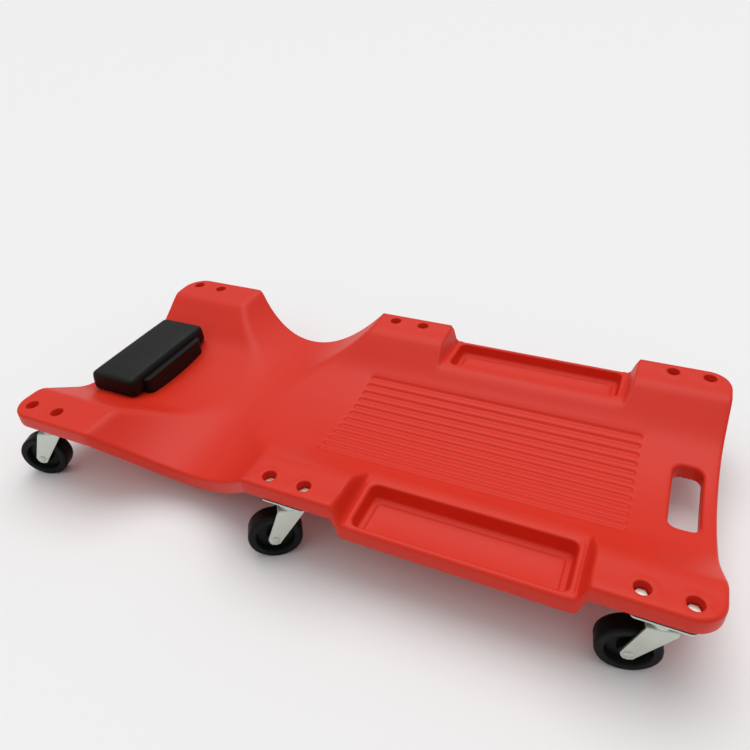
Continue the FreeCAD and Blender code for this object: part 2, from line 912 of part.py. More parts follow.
cushion = doc.addObject("Part::Feature", "headrest_cushion")
cushion.Shape = make_cushion()
keep(cushion, "headrest_cushion")
base = doc.addObject("Part::Feature", "headrest_base")
base_shape = make_base()
for place in SCREW_PLACES:
    base_shape = base_shape.cut(drill(place, SCREW_RADIUS, 0, cell("rest_bottom") - 2))
base.Shape = base_shape
keep(base, "headrest_base")

screws = []
for i, place in enumerate(SCREW_PLACES):
    under = under_height(place.x, place.y) - 1.5
    screw_head = cylinder("screw_head_%d" % i, "6", "2.2", at_level(place, under - 2.2))
    screw_shank = cylinder(
        "screw_shank_%d" % i, str(SCREW_RADIUS), "34", at_level(place, under - 1)
    )
    screws.append(fuse("screw_%d" % i, screw_head, screw_shank))
group("headrest_screws", screws)

# ---------------------------------------------------------------- checks and export

doc.recompute()
for obj in doc.Objects:
    if "Invalid" in obj.State or "Error" in obj.State:
        raise RuntimeError("%s is %s" % (obj.Name, obj.State))
for node in nodes:
    if node.Shape.isNull() or not node.Shape.isValid():
        raise RuntimeError("%s has no valid shape" % node.Label)

os.makedirs("parts", exist_ok=True)
for node in nodes:
    node.Shape.exportStep("parts/%s.step" % node.Label)
print("%d nodes" % len(nodes))
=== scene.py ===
import json
import math

import bpy
import numpy as np
from mathutils import Matrix, Vector
from mathutils.geometry import delaunay_2d_cdt


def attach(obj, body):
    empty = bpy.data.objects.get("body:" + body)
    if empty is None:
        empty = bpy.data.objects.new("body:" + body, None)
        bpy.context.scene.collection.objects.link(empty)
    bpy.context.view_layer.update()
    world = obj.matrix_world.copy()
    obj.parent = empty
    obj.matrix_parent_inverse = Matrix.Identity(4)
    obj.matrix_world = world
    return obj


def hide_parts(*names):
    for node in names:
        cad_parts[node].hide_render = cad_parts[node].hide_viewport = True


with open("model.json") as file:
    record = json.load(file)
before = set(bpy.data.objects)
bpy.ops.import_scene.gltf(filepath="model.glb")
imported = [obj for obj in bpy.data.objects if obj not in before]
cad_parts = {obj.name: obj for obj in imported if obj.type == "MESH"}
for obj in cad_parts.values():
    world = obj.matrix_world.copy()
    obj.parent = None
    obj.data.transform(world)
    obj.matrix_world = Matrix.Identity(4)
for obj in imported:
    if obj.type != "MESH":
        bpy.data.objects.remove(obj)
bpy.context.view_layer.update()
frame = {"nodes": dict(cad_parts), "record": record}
MM = 0.001

# ---------------------------------------------------------------- sizes of the deck, in millimetres
# They repeat the driving dimensions of the CAD deck, which this script can't read.

PAD_TOP, DECK_THICK = 130.0, 25.0
TROUGH_HEAD, TROUGH_RIBS = 72.0, 73.0
ARM_EDGE, ARM_MIDDLE = 60.0, 72.0
RIM_INNER, RIM_OUTER, TRAY_UNDER = 104.0, 99.0, 76.0
HEAD_CORNER, HEAD_KINK, HEAD_MIDDLE, HEAD_WIDE = 516.0, 514.0, 505.0, 245.0
FOOT_CORNER, FOOT_MIDDLE, FOOT_WIDE = 517.0, 513.0, 240.0
PAD_INNER, HEAD_PAD_END = 180.0, 350.0
MID_PAD_START, MID_PAD_END, FOOT_PAD_START = 74.0, 60.0, 381.0
ARM_WAIST, ARM_CENTRE, ARM_LOW = 203.5, 220.0, 212.0
TRAY_START, TRAY_END, TRAY_INNER, TRAY_OUTER = 83.0, 358.0, 157.0, 231.0
RIM_HEAD, RIM_FOOT = 11.0, 9.0  # flat stretches of rim past the trays' ends
TRAY_FLOOR, TRAY_STEP, TRAY_CORNER = 82.0, 2.5, 9.0
SLOT_CENTRE, SLOT_WIDTH, SLOT_LENGTH, SLOT_CORNER = 474.0, 39.0, 124.0, 13.0
FLUTE_START, FLUTE_END, FLUTE_PITCH, FLUTE_WIDTH = 38.0, 407.0, 17.6, 9.0
FLUTE_DEEP, FLUTE_COUNT = 2.0, 12
STATION_X, SIDE, BOLT_GAP = (-458.0, -15.0, 458.0), 218.4, 53.0
RECESS_RADIUS, RECESS_FLOOR, BOLT_HOLE = 9.5, 112.0, 4.3
INNER_SLOPE, HEAD_CURVE, RIB_CURVE, CREASE, BLEND = 0.62, 0.0010, 0.0012, 10.0, 7.0

# What the CAD deck leaves out: beads, rounded rims and softer flutes.
BEAD_HIGH = 1.6  # the ridge across the rim at both ends of a tray
FLUTE_LOOK = 1.3  # the flutes' depth here, as a share of their depth in CAD
TOP_ROUND = 5.0  # radius of the deck's upper rim
UNDER_ROUND = 4.0
TRAY_ROUND, SLOT_ROUND = 2.8, 5.0
GRID = 7.0  # spacing of the skin's inner points
RING = 5.0  # spacing of points along an outline


def ramp(t, soft):
    """Zero below -soft, t above soft, and a parabola between."""
    middle = (t + soft) ** 2 / (4 * soft)
    return np.where(t <= -soft, 0.0, np.where(t >= soft, t, middle))


def step(t):
    """From 0 to 1, smooth at both ends."""
    t = np.clip(t, 0.0, 1.0)
    return t * t * (3 - 2 * t)


def soft_max(a, b):
    return b + ramp(a - b, BLEND)


def soft_min(a, b):
    return a - ramp(a - b, BLEND)


def tray_share(x):
    """1 along the trays, 0 at the pads beside them."""
    near, far = TRAY_START - RIM_HEAD, TRAY_END + RIM_FOOT
    rise = step((x - MID_PAD_END) / (near - MID_PAD_END))
    fall = step((FOOT_PAD_START - x) / (FOOT_PAD_START - far))
    return rise * fall


def side_height(x, y):
    """The pads, the dip of the arm cut-outs and the tray rims: what the long edges follow."""
    away = np.abs(y)
    offset = x + ARM_LOW
    reach = np.where(offset < 0, HEAD_PAD_END - ARM_LOW, ARM_LOW - MID_PAD_START)
    share = np.minimum(1.0, np.abs(offset) / reach)
    low = ARM_EDGE + (ARM_MIDDLE - ARM_EDGE) * np.maximum(0.0, 1 - (away / ARM_WAIST) ** 2)
    arms = low + (PAD_TOP - low) * share**2
    across = (away - TRAY_INNER) / (FOOT_WIDE - TRAY_INNER)
    rim = RIM_INNER + (RIM_OUTER - RIM_INNER) * across
    return arms - tray_share(x) * (PAD_TOP - rim)


def deck_height(x, y):
    """Height of the deck's top skin."""
    away = np.abs(y)
    flank = PAD_TOP - INNER_SLOPE * ramp(PAD_INNER - away, CREASE)
    toward_ribs = step((x + HEAD_PAD_END) / (HEAD_PAD_END - MID_PAD_START))
    middle = TROUGH_HEAD + (TROUGH_RIBS - TROUGH_HEAD) * toward_ribs
    curve = HEAD_CURVE + (RIB_CURVE - HEAD_CURVE) * toward_ribs
    trough = middle + curve * away**2
    return soft_min(soft_max(flank, trough), side_height(x, y))


def bead(x, y):
    """The low ridge across the rim at both ends of each tray."""
    ends = np.zeros_like(x)
    for start, end in ((TRAY_START - RIM_HEAD, TRAY_START), (TRAY_END, TRAY_END + RIM_FOOT)):
        off = np.minimum(1.0, np.abs(x - (start + end) / 2) / ((end - start) / 2))
        ends = ends + (1 - off**2) ** 2
    return BEAD_HIGH * ends * step((np.abs(y) - TRAY_INNER + 8) / 12)


def top_height(x, y):
    """The deck's top skin with the trays' beads."""
    return deck_height(x, y) + bead(x, y)


def under_height(x, y):
    """Height of the deck's bottom skin, flat under the trays."""
    under = deck_height(x, y) - DECK_THICK
    return under - tray_share(x) * np.maximum(0.0, under - TRAY_UNDER)


# ---------------------------------------------------------------- outlines


class Line:
    """A straight stretch of an outline; inside is a point on the deck's side of it."""

    def __init__(self, start, end, inside):
        self.start, along = np.array(start, float), np.array(end, float) - np.array(start, float)
        normal = np.array([-along[1], along[0]]) / np.linalg.norm(along)
        self.normal = normal * math.copysign(1, (np.array(inside) - self.start) @ normal)

    def depth(self, p):
        return (p - self.start) @ self.normal

    def inward(self, p):
        return self.normal

    def points(self, a, b):
        count = max(1, int(np.linalg.norm(b - a) / RING))
        return [a + (b - a) * i / count for i in range(count)]


class Circle:
    """A round stretch of an outline; the inside is outside the circle where it cuts in."""

    def __init__(self, centre, radius, cuts_in=True):
        self.centre, self.radius, self.sign = np.array(centre, float), radius, 1 if cuts_in else -1

    def depth(self, p):
        return self.sign * (np.linalg.norm(p - self.centre) - self.radius)

    def inward(self, p):
        return self.sign * (p - self.centre) / np.linalg.norm(p - self.centre)

    def points(self, a, b):
        start = math.atan2(*(a - self.centre)[::-1])
        turn = math.atan2(*(b - self.centre)[::-1]) - start
        turn = (turn + math.pi) % (2 * math.pi) - math.pi
        count = max(2, int(abs(turn) * self.radius / min(RING, self.radius / 2.5)))
        angles = [start + turn * i / count for i in range(count)]
        return [self.centre + self.radius * np.array([math.cos(t), math.sin(t)]) for t in angles]


def corner_centre(one, other, corner, radius):
    """The centre of a fillet that lies a radius inside both stretches."""
    p = np.array(corner, float)
    for _ in range(30):
        gap = np.array([one.depth(p) - radius, other.depth(p) - radius])
        p = p - np.linalg.solve(np.array([one.inward(p), other.inward(p)]), gap)
    return p


def filleted_loop(turns):
    """Points and inward directions round an outline, from (stretch, corner that ends it, radius)."""
    count = len(turns)
    centres = []
    for i, (stretch, corner, radius) in enumerate(turns):
        if radius:
            centres.append(corner_centre(stretch, turns[(i + 1) % count][0], corner, radius))
        else:
            centres.append(np.array(corner, float))
    points, inward = [], []
    for i, (stretch, _, radius) in enumerate(turns):
        a = centres[i - 1] - turns[i - 1][2] * stretch.inward(centres[i - 1])
        b = centres[i] - radius * stretch.inward(centres[i])
        along = stretch.points(a, b)
        points += along
        inward += [stretch.inward(p) for p in along]
        if radius:
            c = centres[i] - radius * turns[(i + 1) % count][0].inward(centres[i])
            fillet = Circle(centres[i], radius, cuts_in=False)
            along = fillet.points(b, c)
            points += along
            inward += [fillet.inward(p) for p in along]
    return np.array(points), np.array(inward)


def waist_circle(far, side):
    """The arc of an arm cut-out from its waist, where it runs along X, out to a pad's corner."""
    waist = np.array([-ARM_CENTRE, side * ARM_WAIST])
    dx, dy = far[0] - waist[0], far[1] - waist[1]
    radius = (dx * dx + dy * dy) / (2 * abs(dy))
    return Circle((waist[0], waist[1] + math.copysign(radius, dy)), radius)


def end_circle(kink, middle, half):
    """The arc of the head or foot end; kink is the x at y = half, middle the x at y = 0."""
    sag = abs(kink - middle)
    radius = (half**2 + sag**2) / (2 * sag)
    return Circle((middle + math.copysign(radius, kink - middle), 0), radius)


def deck_outline():
    """The plan outline, all the way round, as points and inward directions."""
    kink, corner = (-HEAD_KINK, PAD_INNER), (-HEAD_CORNER, HEAD_WIDE)
    pad_end, waist = (-HEAD_PAD_END + 2, HEAD_WIDE), (-ARM_CENTRE, ARM_WAIST)
    mid_start = (-MID_PAD_START, FOOT_WIDE)
    foot_out, foot_in = (FOOT_CORNER, FOOT_WIDE), (FOOT_CORNER, PAD_INNER)

    def flip(p):
        return (p[0], -p[1])

    # each entry is a stretch and the corner that ends it
    left = [
        (Line(kink, corner, (0, 0)), corner, 38.0),
        (Line(corner, pad_end, (0, 0)), pad_end, 28.0),
        (waist_circle(pad_end, 1), waist, 0.0),
        (waist_circle(mid_start, 1), mid_start, 8.0),
        (Line(mid_start, foot_out, (0, 0)), foot_out, 36.0),
        (Line(foot_out, foot_in, (0, 0)), foot_in, 60.0),
    ]
    foot = (end_circle(FOOT_CORNER, FOOT_MIDDLE, PAD_INNER), flip(foot_in), 60.0)
    right = [
        (Line(flip(foot_in), flip(foot_out), (0, 0)), flip(foot_out), 36.0),
        (Line(flip(foot_out), flip(mid_start), (0, 0)), flip(mid_start), 8.0),
        (waist_circle(flip(mid_start), -1), flip(waist), 0.0),
        (waist_circle(flip(pad_end), -1), flip(pad_end), 28.0),
        (Line(flip(pad_end), flip(corner), (0, 0)), flip(corner), 38.0),
        (Line(flip(corner), flip(kink), (0, 0)), flip(kink), 30.0),
    ]
    head = (end_circle(-HEAD_KINK, -HEAD_MIDDLE, PAD_INNER), kink, 30.0)
    return filleted_loop(left + [foot] + right + [head])


def rounded_rectangle(x_low, x_high, y_low, y_high, radius):
    """Points and inward directions round a rectangle with rounded corners."""
    middle = ((x_low + x_high) / 2, (y_low + y_high) / 2)
    corners = [(x_low, y_high), (x_high, y_high), (x_high, y_low), (x_low, y_low)]
    sides = [Line(corners[i - 1], corners[i], middle) for i in range(4)]
    return filleted_loop([(side, corner, radius) for side, corner in zip(sides, corners)])


def round_loop(centre, radius, count=40):
    """Points and inward directions round a circle."""
    angles = np.arange(count) * 2 * math.pi / count
    away = np.stack([np.cos(angles), np.sin(angles)], axis=1)
    return np.array(centre) + radius * away, -away


# ---------------------------------------------------------------- the deck's mesh


class Skin:
    """Points in plan with a height each, joined by rings, for one side of the deck."""

    def __init__(self):
        self.places, self.heights, self.edges, self.holes = [], [], [], []
        self.count = 0

    def add(self, places, heights, closed=True):
        """Adds points and, round a closed ring, the edges between them. Returns their numbers."""
        numbers = np.arange(self.count, self.count + len(places))
        self.places.append(np.asarray(places, float))
        self.heights.append(np.broadcast_to(heights, len(places)).astype(float))
        if closed:
            self.edges += list(zip(numbers.tolist(), np.roll(numbers, -1).tolist()))
        self.count += len(places)
        return numbers

    def triangles(self):
        """The faces between the rings, leaving out the holes."""
        places = np.concatenate(self.places)
        _, _, faces, origins, _, _ = delaunay_2d_cdt(
            [Vector(p) for p in places], self.edges, [], 1, 1e-7
        )
        number = [found[0] for found in origins]
        corners = np.array([[number[i] for i in face] for face in faces])
        middles = places[corners].mean(axis=1)
        outside = np.ones(len(corners), bool)
        for hole in self.holes:
            outside &= ~inside(middles, hole)
        return corners[outside]


def inside(points, loop):
    """Which points lie inside a closed loop."""
    found = np.zeros(len(points), bool)
    x, y = points[:, 0], points[:, 1]
    for (x0, y0), (x1, y1) in zip(loop, np.roll(loop, -1, axis=0)):
        if y0 == y1:
            continue
        crosses = (y0 > y) != (y1 > y)
        found ^= crosses & (x < (x1 - x0) * (y - y0) / (y1 - y0) + x0)
    return found


def distance_to(points, loop):
    """How far each point lies from the nearest corner of a loop."""
    nearest = np.full(len(points), np.inf)
    for start in range(0, len(loop), 200):
        part = loop[start : start + 200]
        gaps = np.linalg.norm(points[:, None] - part[None], axis=2)
        nearest = np.minimum(nearest, gaps.min(axis=1))
    return nearest


def rounding(radius, steps):
    """(inset, drop) pairs of a rounded edge, from its flat side to its steep side."""
    angles = np.radians(np.linspace(90.0, 0.0, steps))
    return [(radius * (1 - math.cos(t)), radius * (1 - math.sin(t))) for t in angles]


SIDES = (-1, 1)
BOLTS = [
    (x + way * BOLT_GAP / 2, side * SIDE) for x in STATION_X for side in SIDES for way in SIDES
]
SEAT = PAD_TOP - DECK_THICK  # where the caster spacers meet the deck
SEAT_X, SEAT_Y, SEAT_DROP = 38, 24, 6  # how far the flat seat reaches round a caster, and down

# tray: inset from the opening, level, corner radius
TRAY_PROFILE = [
    (2.4, TRAY_FLOOR + 4.5, 7.5),
    (2.8, TRAY_FLOOR + 2.4, 7.2),
    (3.8, TRAY_FLOOR + 0.7, 6.6),
    (5.6, TRAY_FLOOR, 6.0),
    (9.8, TRAY_FLOOR, 5.5),
    (10.8, TRAY_FLOOR - 0.4, 5.3),
    (12.2, TRAY_FLOOR - TRAY_STEP + 0.4, 5.0),
    (13.4, TRAY_FLOOR - TRAY_STEP, 4.5),
]
# recess: radius, drop below the pad
RECESS_PROFILE = [(11.0, 0.0), (10.3, 0.25), (9.8, 0.8), (9.5, 1.6), (9.3, 17.2), (8.9, 18.0)]
# flute: how far outside its edge, share of its depth
FLUTE_PROFILE = [(1.0, 0.0), (0.3, 0.12), (-0.7, 0.42), (-1.8, 0.76), (-2.8, 0.95), (-3.5, 1.0)]


def under_seat(x, y):
    """The bottom skin, flat over the caster plates."""
    height = under_height(x, y)
    for station in STATION_X:
        over = (np.abs(x - station) < SEAT_X) & (np.abs(np.abs(y) - SIDE) < SEAT_Y)
        near = height > SEAT - SEAT_DROP
        height = np.where(over & near, np.maximum(height, SEAT), height)
    return height


def at(height, places):
    """A height function's value at each of some points in plan."""
    return height(places[:, 0], places[:, 1])


def add_rings(skin, points, directions, profile, height):
    """A ring for each (inset, drop); the height follows the skin's own height function."""
    made = []
    for inset, drop in profile:
        places = points + directions * inset
        made.append(skin.add(places, at(height, places) - drop))
    return made


def upward(profile):
    """The same profile for the bottom skin, whose edge turns up instead of down."""
    return [(inset, -drop) for inset, drop in profile]


def add_tray(top, way):
    """One tray's rim, walls and stepped floor. Returns the loop to keep other points out of."""

    def box(inset, radius):
        low, high = sorted((way * (TRAY_INNER + inset), way * (TRAY_OUTER - inset)))
        return rounded_rectangle(TRAY_START + inset, TRAY_END - inset, low, high, radius)

    edge, edge_in = box(0, TRAY_CORNER)
    add_rings(top, edge, -edge_in, reversed(rounding(TRAY_ROUND, 6)), top_height)
    for inset, level, radius in TRAY_PROFILE:
        top.add(box(inset, radius)[0], level)
    return box(-TRAY_ROUND - 2, TRAY_CORNER + TRAY_ROUND)[0]


def add_slot(top, under):
    """The handle slot through both skins. Returns its loop and the rings to join."""
    half_wide, half_long = SLOT_WIDTH / 2, SLOT_LENGTH / 2
    slot, slot_in = rounded_rectangle(
        SLOT_CENTRE - half_wide, SLOT_CENTRE + half_wide, -half_long, half_long, SLOT_CORNER
    )
    above = add_rings(top, slot, -slot_in, reversed(rounding(SLOT_ROUND, 6)), top_height)
    below = add_rings(
        under, slot, -slot_in, upward(reversed(rounding(UNDER_ROUND, 5))), under_seat
    )
    for skin in (top, under):
        skin.holes.append(slot)
    return slot, (above[0], below[0])


def add_bolt_hole(top, under, centre):
    """A recess in the top skin and the hole at its bottom. Returns the rings to join."""
    for radius, drop in RECESS_PROFILE:
        top.add(round_loop(centre, radius)[0], PAD_TOP - drop)
    hole, _ = round_loop(centre, BOLT_HOLE)
    for skin in (top, under):
        skin.holes.append(hole)
    return top.add(hole, RECESS_FLOOR), under.add(hole, SEAT)


def add_flutes(top):
    for i in range(FLUTE_COUNT):
        middle = (i - (FLUTE_COUNT - 1) / 2) * FLUTE_PITCH
        for out, share in FLUTE_PROFILE:
            reach = FLUTE_WIDTH / 2 + out
            places, _ = rounded_rectangle(
                -FLUTE_START - out, FLUTE_END + out, middle - reach, middle + reach, reach - 0.1
            )
            top.add(places, at(top_height, places) - share * FLUTE_LOOK * FLUTE_DEEP)


def add_slopes(top, under):
    """Close rows of points on the short, steep slopes at the trays' ends. Returns their loops."""
    loops = []
    across = np.arange(TRAY_INNER - 12, FOOT_WIDE - TOP_ROUND - 2, 5)
    for start, end in ((MID_PAD_END - 6, TRAY_START - 3.6), (TRAY_END + 3.6, FOOT_PAD_START + 6)):
        for way in SIDES:
            for x in np.arange(start, end, 2.0):
                row = np.column_stack([np.full(len(across), x), way * across])
                top.add(row, at(top_height, row), closed=False)
                under.add(row, at(under_seat, row), closed=False)
            low, high = sorted((way * across[0], way * (across[-1] + 20)))
            loops.append(rounded_rectangle(start - 2, end + 2, low - 3, high, 1)[0])
    return loops


def fill(skin, height, outline, gap, blocked):
    """A staggered grid of points, clear of the outline and of each (loop, space) in blocked."""
    along = np.arange(-HEAD_CORNER, FOOT_CORNER, GRID)
    across = np.arange(-HEAD_WIDE, HEAD_WIDE, GRID)
    points = np.array([(x + (j % 2) * GRID / 2, y) for j, y in enumerate(across) for x in along])
    points = points[inside(points, outline)]
    points = points[distance_to(points, outline) > gap]
    for loop, space in blocked:
        points = points[~inside(points, loop)]
        if space:
            points = points[distance_to(points, loop) > space]
    skin.add(points, at(height, points), closed=False)


def joined(top, under, bridges):
    """One closed mesh from the two skins and the pairs of rings that join them."""
    skins = [
        np.column_stack([np.concatenate(skin.places), np.concatenate(skin.heights)])
        for skin in (top, under)
    ]
    lift = top.count
    faces = [tuple(face) for face in top.triangles()]
    faces += [tuple(face[::-1] + lift) for face in under.triangles()]
    for upper, lower in bridges:
        for i in range(len(upper)):
            j = (i + 1) % len(upper)
            faces.append((upper[i], upper[j], lower[j] + lift, lower[i] + lift))
    mesh = bpy.data.meshes.new("deck_skin")
    vertices = (np.concatenate(skins) * MM).tolist()
    mesh.from_pydata(vertices, [], [tuple(int(i) for i in face) for face in faces])
    mesh.validate()
    return mesh


def deck_mesh():
    """The whole deck as one closed mesh, with rounded rims, trays, slot, recesses and flutes."""
    outline, inward = deck_outline()
    top, under = Skin(), Skin()
    top_rim = add_rings(top, outline, inward, rounding(TOP_ROUND, 7), top_height)
    under_rim = add_rings(under, outline, inward, upward(rounding(UNDER_ROUND, 5)), under_seat)
    bridges = [(top_rim[-1], under_rim[-1])]
    blocked = [(add_tray(top, way), 0) for way in SIDES]
    slot, slot_rings = add_slot(top, under)
    bridges.append(slot_rings)
    blocked.append((slot, SLOT_ROUND + 2))
    for centre in BOLTS:
        bridges.append(add_bolt_hole(top, under, centre))
        blocked.append((round_loop(centre, RECESS_RADIUS + 2)[0], 3))
    add_flutes(top)
    slopes = [(loop, 0) for loop in add_slopes(top, under)]
    flutes_reach = FLUTE_COUNT * FLUTE_PITCH / 2
    field = np.array(
        [
            (-FLUTE_START - 3, -flutes_reach),
            (FLUTE_END + 3, -flutes_reach),
            (FLUTE_END + 3, flutes_reach),
            (-FLUTE_START - 3, flutes_reach),
        ]
    )
    fill(top, top_height, outline, TOP_ROUND + 2.5, blocked + slopes + [(field, 0)])
    holes = [(hole, 2) for hole in under.holes]
    fill(under, under_seat, outline, UNDER_ROUND + 3, holes + slopes)
    return joined(top, under, bridges)


# ---------------------------------------------------------------- materials


class Nodes:
    """Short ways to build a material's node tree."""

    def __init__(self, name):
        self.material = bpy.data.materials.new(name)
        self.material.use_nodes = True
        self.tree = self.material.node_tree
        self.shader = self.tree.nodes["Principled BSDF"]

    def add(self, kind, inputs=None, **settings):
        node = self.tree.nodes.new(kind)
        for word, setting in settings.items():
            setattr(node, word, setting)
        for socket, source in (inputs or {}).items():
            if isinstance(source, bpy.types.NodeSocket):
                self.tree.links.new(source, node.inputs[socket])
            else:
                node.inputs[socket].default_value = source
        return node

    def place(self):
        return self.add("ShaderNodeTexCoord").outputs["Object"]

    def noise(self, scale, detail=3.0):
        inputs = {"Vector": self.place(), "Scale": scale, "Detail": detail}
        return self.add("ShaderNodeTexNoise", inputs)

    def remap(self, source, low, high, to_low, to_high):
        inputs = {"Value": source, 1: low, 2: high, 3: to_low, 4: to_high}
        return self.add("ShaderNodeMapRange", inputs).outputs["Result"]

    def mix(self, share, one, other):
        node = self.add("ShaderNodeMix", {"Factor": share}, data_type="RGBA")
        node.inputs[6].default_value = one
        node.inputs[7].default_value = other
        return node.outputs[2]

    def bump(self, height, strength, distance):
        inputs = {"Height": height, "Strength": strength, "Distance": distance}
        return self.add("ShaderNodeBump", inputs).outputs["Normal"]

    def finish(self, **sockets):
        """Sets or links the shader's sockets; an underscore in a name stands for a space."""
        for word, source in sockets.items():
            socket = self.shader.inputs[word.replace("_", " ")]
            if isinstance(source, bpy.types.NodeSocket):
                self.tree.links.new(source, socket)
            else:
                socket.default_value = source
        return self.material


def deck_plastic():
    nodes = Nodes("deck_plastic")
    mottle = nodes.noise(9.0).outputs["Fac"]
    grain = nodes.noise(900.0, 2.0).outputs["Fac"]
    colour = nodes.mix(
        nodes.remap(mottle, 0.3, 0.7, 0.0, 1.0), (0.69, 0.024, 0.008, 1), (0.71, 0.028, 0.010, 1)
    )
    return nodes.finish(
        Base_Color=colour,
        Roughness=nodes.remap(mottle, 0.3, 0.7, 0.40, 0.46),
        Specular_IOR_Level=0.25,
        Normal=nodes.bump(grain, 0.05, 0.0002),
    )


def vinyl():
    nodes = Nodes("vinyl")
    inputs = {"Vector": nodes.place(), "Scale": 420.0}
    pebbles = nodes.add("ShaderNodeTexVoronoi", inputs, feature="SMOOTH_F1").outputs["Distance"]
    sheen = nodes.noise(30.0).outputs["Fac"]
    return nodes.finish(
        Base_Color=nodes.mix(sheen, (0.004, 0.0045, 0.004, 1), (0.006, 0.0065, 0.006, 1)),
        Roughness=nodes.remap(sheen, 0.3, 0.7, 0.42, 0.52),
        Specular_IOR_Level=0.2,
        Normal=nodes.bump(pebbles, 0.25, 0.0004),
    )


def zinc_plate():
    nodes = Nodes("zinc_plate")
    cloud = nodes.noise(60.0).outputs["Fac"]
    grain = nodes.noise(1500.0, 2.0).outputs["Fac"]
    return nodes.finish(
        Base_Color=nodes.mix(cloud, (0.56, 0.60, 0.54, 1), (0.70, 0.73, 0.66, 1)),
        Metallic=0.85,
        Roughness=nodes.remap(cloud, 0.3, 0.7, 0.36, 0.48),
        Normal=nodes.bump(grain, 0.08, 0.0001),
    )


def bearing_steel():
    nodes = Nodes("bearing_steel")
    cloud = nodes.noise(80.0).outputs["Fac"]
    return nodes.finish(
        Base_Color=nodes.mix(cloud, (0.42, 0.44, 0.43, 1), (0.52, 0.54, 0.52, 1)),
        Metallic=1.0,
        Roughness=nodes.remap(cloud, 0.3, 0.7, 0.22, 0.32),
    )


def wheel_black():
    nodes = Nodes("wheel_black")
    cloud = nodes.noise(40.0).outputs["Fac"]
    grain = nodes.noise(700.0, 2.0).outputs["Fac"]
    return nodes.finish(
        Base_Color=nodes.mix(cloud, (0.002, 0.003, 0.003, 1), (0.004, 0.005, 0.005, 1)),
        Roughness=nodes.remap(cloud, 0.3, 0.7, 0.38, 0.5),
        Specular_IOR_Level=0.14,
        Normal=nodes.bump(grain, 0.06, 0.0002),
    )


def black_rubber():
    nodes = Nodes("black_rubber")
    grain = nodes.noise(500.0, 2.0).outputs["Fac"]
    return nodes.finish(
        Base_Color=nodes.mix(grain, (0.008, 0.008, 0.008, 1), (0.013, 0.013, 0.013, 1)),
        Roughness=0.7,
        Normal=nodes.bump(grain, 0.1, 0.0002),
    )


MATERIALS = {
    "deck_plastic": deck_plastic(),
    "vinyl": vinyl(),
    "zinc_plate": zinc_plate(),
    "bearing_steel": bearing_steel(),
    "wheel_black": wheel_black(),
    "black_rubber": black_rubber(),
}


def give(obj, slot):
    """The object's one material, and the record's slot that it belongs to."""
    obj.data.materials.clear()
    obj.data.materials.append(MATERIALS[slot])


def new_piece(name, mesh, slot):
    piece = bpy.data.objects.new(name, mesh)
    bpy.context.scene.collection.objects.link(piece)
    give(piece, slot)
    return piece


# ---------------------------------------------------------------- pieces

CUSHION_CAP = 0.005  # how far the cloth may carry a point of the cushion
CUSHION_CROWN = 0.003
CLOTH_FRAMES = 20


def places_of(mesh):
    """Where the mesh's points are, one row each."""
    flat = np.empty(len(mesh.vertices) * 3)
    mesh.vertices.foreach_get("co", flat)
    return flat.reshape(-1, 3)


def set_places(mesh, places):
    mesh.vertices.foreach_set("co", places.ravel())
    mesh.update()


def apply_modifiers(obj):
    """Gives the object the mesh that its modifiers make, and takes them off it."""
    depsgraph = bpy.context.evaluated_depsgraph_get()
    mesh = bpy.data.meshes.new_from_object(obj.evaluated_get(depsgraph), depsgraph=depsgraph)
    obj.modifiers.clear()
    obj.data = mesh


def blow_up(cushion, reach, rise):
    """Swells the cushion as cloth under pressure, held along its seams and at the bottom.

    reach is each point's distance from the middle as a share of the half size in X, Y and Z, and
    rise its height from 0 to 1.
    """
    start = places_of(cushion.data)
    seams = (reach[:, 0] > 0.84).astype(int) + (reach[:, 1] > 0.92) + (rise > 0.82) > 1
    held = np.flatnonzero(seams | (rise < 0.15))
    pins = cushion.vertex_groups.new(name="pins")
    pins.add([int(i) for i in held], 1.0, "REPLACE")
    cloth = cushion.modifiers.new("cloth", "CLOTH")
    cloth.settings.use_pressure = True
    cloth.settings.uniform_pressure_force = 4
    cloth.settings.vertex_group_mass = "pins"
    cloth.settings.effector_weights.gravity = 0
    cloth.point_cache.frame_start, cloth.point_cache.frame_end = 1, CLOTH_FRAMES
    for moment in range(1, CLOTH_FRAMES + 1):
        bpy.context.scene.frame_set(moment)
    apply_modifiers(cushion)
    bpy.context.scene.frame_set(1)
    moved = places_of(cushion.data) - start
    length = np.linalg.norm(moved, axis=1, keepdims=True)
    set_places(cushion.data, start + moved * np.minimum(1.0, CUSHION_CAP / np.maximum(length, 1e-9)))


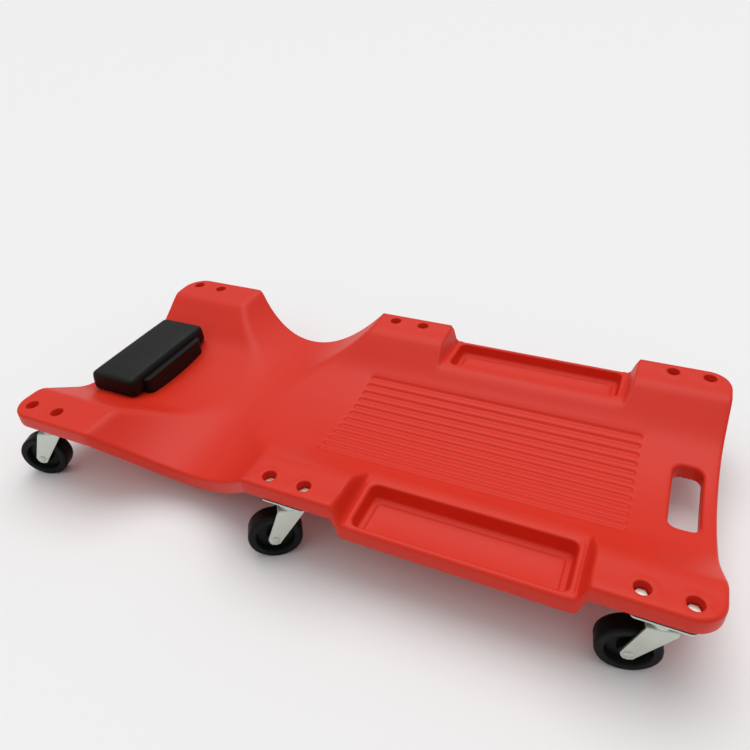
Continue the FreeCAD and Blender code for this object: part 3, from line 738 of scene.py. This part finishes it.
def make_cushion():
    """The headrest's cushion: the CAD block with tapered sides, blown up as cloth over foam."""
    node = frame["nodes"]["headrest_cushion"]
    mesh = node.data.copy()
    mesh.transform(node.matrix_world)
    cushion = new_piece("cushion", mesh, "vinyl")
    voxels = cushion.modifiers.new("voxels", "REMESH")
    voxels.mode, voxels.voxel_size = "VOXEL", 0.004
    apply_modifiers(cushion)

    # the sides lean in towards the top
    places = places_of(cushion.data)
    low, high = places.min(axis=0), places.max(axis=0)
    middle, half = (low + high) / 2, (high - low) / 2
    rise = (places[:, 2] - low[2]) / (high[2] - low[2])
    places[:, 1] = middle[1] + (places[:, 1] - middle[1]) * (1.02 - 0.03 * rise)
    places[:, 0] = middle[0] + (places[:, 0] - middle[0]) * (1.01 - 0.015 * rise)
    places[:, 2] += 0.0035 * rise - 0.002
    set_places(cushion.data, places)
    blow_up(cushion, np.abs(places - middle) / half, rise)

    # the crown
    places = places_of(cushion.data)
    over = np.clip((places[:, :2] - middle[:2]) / half[:2], -1, 1)
    places[:, 2] += CUSHION_CROWN * (1 - over[:, 0] ** 2) * (1 - over[:, 1] ** 2) * rise
    set_places(cushion.data, places)
    finer = cushion.modifiers.new("finer", "SUBSURF")
    finer.levels = finer.render_levels = 1
    apply_modifiers(cushion)
    cushion.data.shade_smooth()
    give(cushion, "vinyl")
    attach(cushion, "deck")
    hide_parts("headrest_cushion")


make_cushion()

deck = new_piece("deck", deck_mesh(), "deck_plastic")
deck.data.shade_smooth()
deck.data.set_sharp_from_angle(angle=math.radians(50))
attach(deck, "deck")
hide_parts("deck_shell")

for entry in frame["record"]["subparts"]:
    if entry["node"] not in ("deck_shell", "headrest_cushion"):
        give(frame["nodes"][entry["node"]], entry["material_slot"])

# ---------------------------------------------------------------- floor, light and camera

bpy.ops.mesh.primitive_plane_add(size=60)
floor = bpy.context.object
floor.name = "floor"
paper = Nodes("floor_paper")
floor.data.materials.append(
    paper.finish(Base_Color=(0.9, 0.9, 0.9, 1), Roughness=0.9, Specular_IOR_Level=0.1)
)

HORIZON, OVERHEAD = 0.24, 0.80  # the dome's strength at its edge and at its top
PAPER = 0.84  # what the camera sees of the dome: a plain pale background


def make_studio():
    """A dome that is brightest overhead, and one wide soft lamp far above."""
    world = bpy.data.worlds.new("studio")
    world.use_nodes = True
    bpy.context.scene.world = world
    sky = world.node_tree
    background = sky.nodes["Background"]
    direction = sky.nodes.new("ShaderNodeTexCoord")
    parts = sky.nodes.new("ShaderNodeSeparateXYZ")
    strength = sky.nodes.new("ShaderNodeMapRange")
    for socket, level in (("To Min", HORIZON), ("To Max", OVERHEAD)):
        strength.inputs[socket].default_value = level
    seen = sky.nodes.new("ShaderNodeLightPath")
    shown = sky.nodes.new("ShaderNodeMix")
    shown.inputs[3].default_value = PAPER
    sky.links.new(direction.outputs["Generated"], parts.inputs["Vector"])
    sky.links.new(parts.outputs["Z"], strength.inputs["Value"])
    sky.links.new(seen.outputs["Is Camera Ray"], shown.inputs["Factor"])
    sky.links.new(strength.outputs["Result"], shown.inputs[2])
    sky.links.new(shown.outputs[0], background.inputs["Strength"])
    background.inputs["Color"].default_value = (1, 1, 1, 1)

    sun = bpy.data.lights.new("overhead", "SUN")
    sun.energy, sun.angle = 1.22, math.radians(50)
    overhead = bpy.data.objects.new("overhead", sun)
    overhead.rotation_euler = (math.radians(-20), math.radians(-6), 0)
    bpy.context.scene.collection.objects.link(overhead)


def make_camera(place, forward, roll, focal):
    """A camera at place that looks along forward, rolled about its own axis."""
    forward = Vector(forward).normalized()
    level = forward.cross(Vector((0, 0, 1))).normalized()
    upright = level.cross(forward)
    right = level * math.cos(roll) + upright * math.sin(roll)
    above = upright * math.cos(roll) - level * math.sin(roll)
    lens = bpy.data.cameras.new("photo_view")
    lens.lens, lens.sensor_width = focal, 36
    lens.clip_start, lens.clip_end = 0.01, 100
    camera = bpy.data.objects.new("photo_view", lens)
    bpy.context.scene.collection.objects.link(camera)
    turn = Matrix((right, above, -forward)).transposed().to_4x4()
    camera.matrix_world = Matrix.Translation(place) @ turn
    return camera


make_studio()
bpy.context.scene.camera = make_camera(
    (0.3806, -0.7327, 0.7336), (-0.3649, 0.7359, -0.5704), math.radians(-3.48), 31.37
)
bpy.context.scene.view_settings.view_transform = "Standard"
